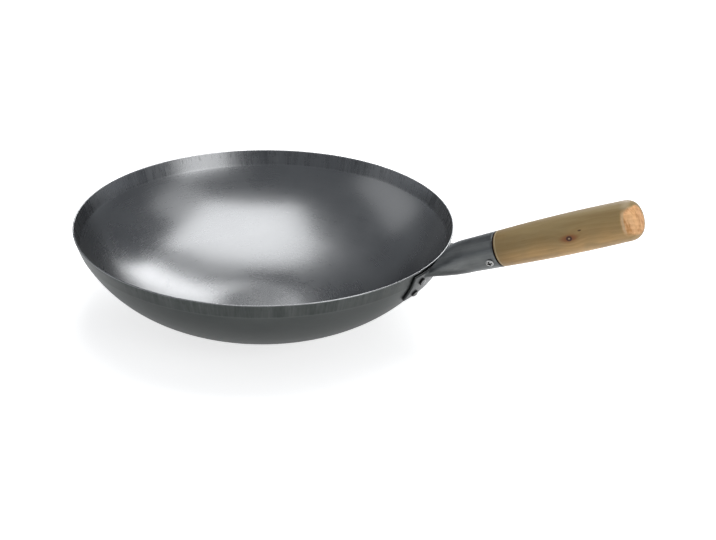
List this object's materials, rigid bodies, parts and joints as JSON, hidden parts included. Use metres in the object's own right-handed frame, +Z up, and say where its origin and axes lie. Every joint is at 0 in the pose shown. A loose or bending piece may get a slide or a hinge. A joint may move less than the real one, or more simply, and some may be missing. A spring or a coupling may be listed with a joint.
{
  "type": "carbon steel wok with a wooden handle",
  "caption": "Round steel bowl with a small flat base and an upright rim band, and a rising socket handle riveted to its wall and ended by a rounded wooden grip.",
  "frame": {"origin": "middle of the flat base's underside, where the wok rests", "axes": "+Z up out of the bowl, +X out along the handle, +Y to the left seen from the bowl's middle"},
  "size_m": [0.5386, 0.3554, 0.1807],
  "materials": {
    "bowl_steel": "bare dark carbon steel, spun, satin",
    "socket_steel": "bare carbon steel with lengthwise grain, satin",
    "pale_wood": "turned pale wood, lightly varnished",
    "rivet_steel": "plain steel, semi-gloss",
    "screw_steel": "bright plated steel"
  },
  "bodies": {
    "root": {"bowl": "bowl_steel", "handle_socket": "socket_steel", "wooden_grip": "pale_wood", "rivet_upper_left": "rivet_steel", "rivet_upper_right": "rivet_steel", "rivet_lower_left": "rivet_steel", "rivet_lower_right": "rivet_steel", "grip_screw": "screw_steel"}
  },
  "joints": []
}
